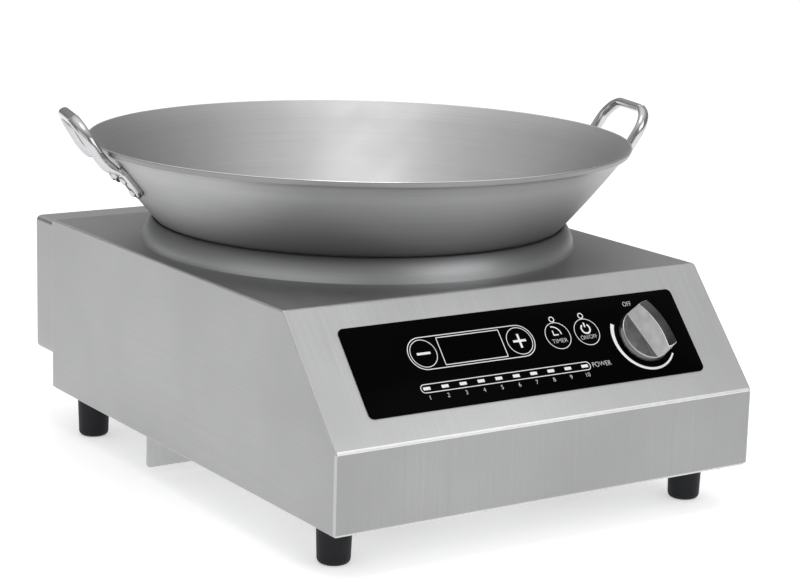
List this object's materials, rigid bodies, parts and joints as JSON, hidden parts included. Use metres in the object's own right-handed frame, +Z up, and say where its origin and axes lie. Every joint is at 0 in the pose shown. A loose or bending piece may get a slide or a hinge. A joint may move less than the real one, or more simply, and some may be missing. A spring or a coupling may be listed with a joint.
{
  "type": "induction wok hob",
  "caption": "Counter-top induction wok hob: brushed steel wedge casing, sloped control panel with knob and keys, dished bowl in a ring, rear air hood and a lift-off wok with loop handles.",
  "frame": {"origin": "on the worktop, in the middle of the bounding box", "axes": "X to the right seen from the control side, Y to the back, Z up"},
  "size_m": [0.4318, 0.4447, 0.2605],
  "materials": {
    "brushed_casing": "fine vertical grain, satin",
    "plain_sheet": "plain rolled sheet",
    "foot_rubber": "matte",
    "screw_steel": "plain",
    "black_rubber": "matte",
    "ring_steel": "polished",
    "black_glass": "glossy",
    "pad_fibre": "woven",
    "coil_copper": "enamelled wire",
    "carrier_plastic": "matte",
    "ferrite": "matte",
    "post_aluminium": "plain",
    "panel_black": "glossy film with white print",
    "window_red": "glossy",
    "light_clear": "clear",
    "dark_plastic": "matte",
    "board_green": "solder mask",
    "spacer_brass": "plain",
    "knob_silver": "satin",
    "capacitor_yellow": "glossy",
    "pan_steel": "satin spun",
    "handle_chrome": "polished"
  },
  "bodies": {
    "hob": {"upper_casing": "brushed_casing", "base_plate": "plain_sheet", "rear_hood": "brushed_casing", "air_baffle": "plain_sheet", "foot_front_left": "foot_rubber", "foot_front_right": "foot_rubber", "foot_rear_left": "foot_rubber", "foot_rear_right": "foot_rubber", "foot_screws": "screw_steel", "base_screws": "screw_steel", "hood_screws": "screw_steel", "baffle_screws": "screw_steel", "cable_bushing": "black_rubber", "bowl_ring": "ring_steel", "bowl_seal": "black_rubber", "glass_bowl": "black_glass", "insulation_pad": "pad_fibre", "coil_winding": "coil_copper", "coil_carrier": "carrier_plastic", "ferrite_bars": "ferrite", "carrier_posts": "post_aluminium", "carrier_screws": "screw_steel", "temperature_sensor": "post_aluminium", "control_overlay": "panel_black", "display_window": "window_red", "level_lights": "light_clear", "mode_lights": "light_clear", "display_module": "dark_plastic", "control_board": "board_green", "board_spacers": "spacer_brass", "board_screws": "screw_steel", "push_switches": "dark_plastic", "potentiometer": "spacer_brass", "pot_nut": "spacer_brass", "power_board": "board_green", "power_spacers": "spacer_brass", "power_screws": "screw_steel", "heat_sink": "post_aluminium", "power_transistors": "dark_plastic", "filter_capacitors": "capacitor_yellow", "filter_choke": "coil_copper", "terminal_block": "carrier_plastic", "fan_frame_left": "dark_plastic", "fan_frame_right": "dark_plastic", "fan_screws": "screw_steel"},
    "knob": {"control_knob": "knob_silver", "pot_shaft": "screw_steel"},
    "fan_left": {"fan_rotor_left": "dark_plastic"},
    "fan_right": {"fan_rotor_right": "dark_plastic"},
    "wok": {"wok_pan": "pan_steel", "wok_handle_left": "handle_chrome", "wok_handle_right": "handle_chrome", "wok_rivets": "pan_steel"},
    "minus_key": {"minus_key": "panel_black"},
    "plus_key": {"plus_key": "panel_black"},
    "timer_key": {"timer_key": "panel_black"},
    "power_key": {"power_key": "panel_black"}
  },
  "joints": [
    {"name": "knob_turn", "type": "hinge", "parent": "hob", "child": "knob", "pos_m": [0.0966, -0.18968, 0.12272], "axis": [0, 0.7544, -0.6564], "range_deg": [0, 300]},
    {"name": "minus_key_press", "type": "slide", "parent": "hob", "child": "minus_key", "axis": [0, 0.7544, -0.6564], "range_m": [0, 0.0005], "stiffness_N_per_m": 600, "springref_m": -0.0005},
    {"name": "plus_key_press", "type": "slide", "parent": "hob", "child": "plus_key", "axis": [0, 0.7544, -0.6564], "range_m": [0, 0.0005], "stiffness_N_per_m": 600, "springref_m": -0.0005},
    {"name": "timer_key_press", "type": "slide", "parent": "hob", "child": "timer_key", "axis": [0, 0.7544, -0.6564], "range_m": [0, 0.0005], "stiffness_N_per_m": 600, "springref_m": -0.0005},
    {"name": "power_key_press", "type": "slide", "parent": "hob", "child": "power_key", "axis": [0, 0.7544, -0.6564], "range_m": [0, 0.0005], "stiffness_N_per_m": 600, "springref_m": -0.0005},
    {"name": "fan_left_spin", "type": "hinge", "parent": "hob", "child": "fan_left", "pos_m": [-0.07, -0.1165, 0.048], "axis": [0, 0, 1], "continuous": true},
    {"name": "fan_right_spin", "type": "hinge", "parent": "hob", "child": "fan_right", "pos_m": [0.07, -0.1165, 0.048], "axis": [0, 0, 1], "continuous": true},
    {"name": "wok_lift", "type": "slide", "parent": "hob", "child": "wok", "axis": [0, 0, 1], "range_m": [0, 0.2]}
  ]
}
